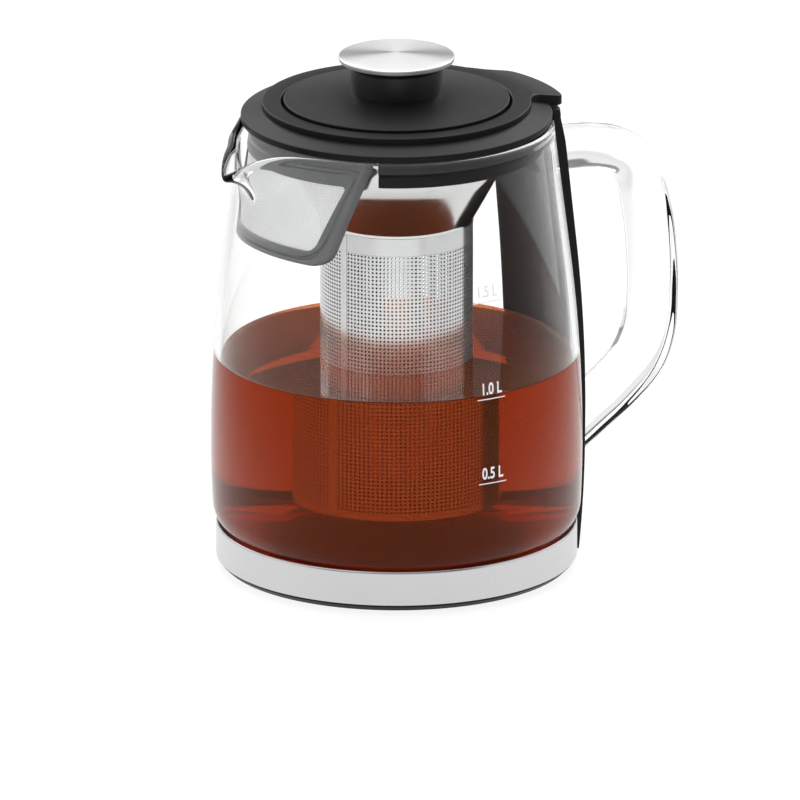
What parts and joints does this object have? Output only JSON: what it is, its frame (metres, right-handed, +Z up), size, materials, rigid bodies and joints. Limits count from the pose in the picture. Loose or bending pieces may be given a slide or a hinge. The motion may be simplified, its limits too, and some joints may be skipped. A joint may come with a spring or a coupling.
{
  "type": "teapot",
  "caption": "Clear jug teapot with steel infuser, spout filter, two-part black lid with steel knob, side strap and clear C-handle.",
  "frame": {"origin": "on the jug's axis, on the surface it stands on, at the middle of the base pad", "axes": "+Z up, +X towards the handle, the spout at -X, fill marks at -Y"},
  "size_m": [0.2015, 0.142, 0.2033],
  "materials": {
    "clear_glass": "clear, polished",
    "clear_handle": "clear, polished, thick",
    "black_plastic": "satin",
    "lid_plastic": "fine matte",
    "filter_plastic": "matte",
    "silicone": "soft matte",
    "brushed_steel": "brushed round the axis",
    "polished_steel": "polished stainless steel",
    "mesh_steel": "perforated stainless steel",
    "screw_steel": "plain"
  },
  "bodies": {
    "jug": {"glass_jug": "clear_glass", "clear_handle": "clear_handle", "handle_strap": "black_plastic", "base_collar": "brushed_steel", "base_carrier": "black_plastic", "base_seal": "silicone", "base_pad": "silicone", "carrier_screws": "screw_steel"},
    "lid": {"lid_ring": "lid_plastic", "lid_upper_ring": "lid_plastic", "lid_gasket": "silicone", "spout_filter_frame": "filter_plastic", "spout_filter_mesh": "mesh_steel"},
    "infuser": {"infuser_funnel": "polished_steel", "infuser_tube": "mesh_steel", "infuser_seam_strip": "polished_steel", "infuser_floor": "mesh_steel"},
    "inner_lid": {"inner_lid_disc": "lid_plastic", "inner_lid_plug": "black_plastic", "inner_lid_seal": "silicone", "knob_neck": "black_plastic", "knob_cap": "brushed_steel", "knob_washer": "screw_steel", "knob_screw": "screw_steel"}
  },
  "joints": [
    {"name": "lid_lift", "type": "slide", "parent": "jug", "child": "lid", "axis": [0.1478, 0, 0.989], "range_m": [0, 0.16]},
    {"name": "infuser_lift", "type": "slide", "parent": "lid", "child": "infuser", "axis": [0, 0, 1], "range_m": [0, 0.16]},
    {"name": "inner_lid_lift", "type": "slide", "parent": "infuser", "child": "inner_lid", "axis": [0, 0, 1], "range_m": [0, 0.05]}
  ]
}
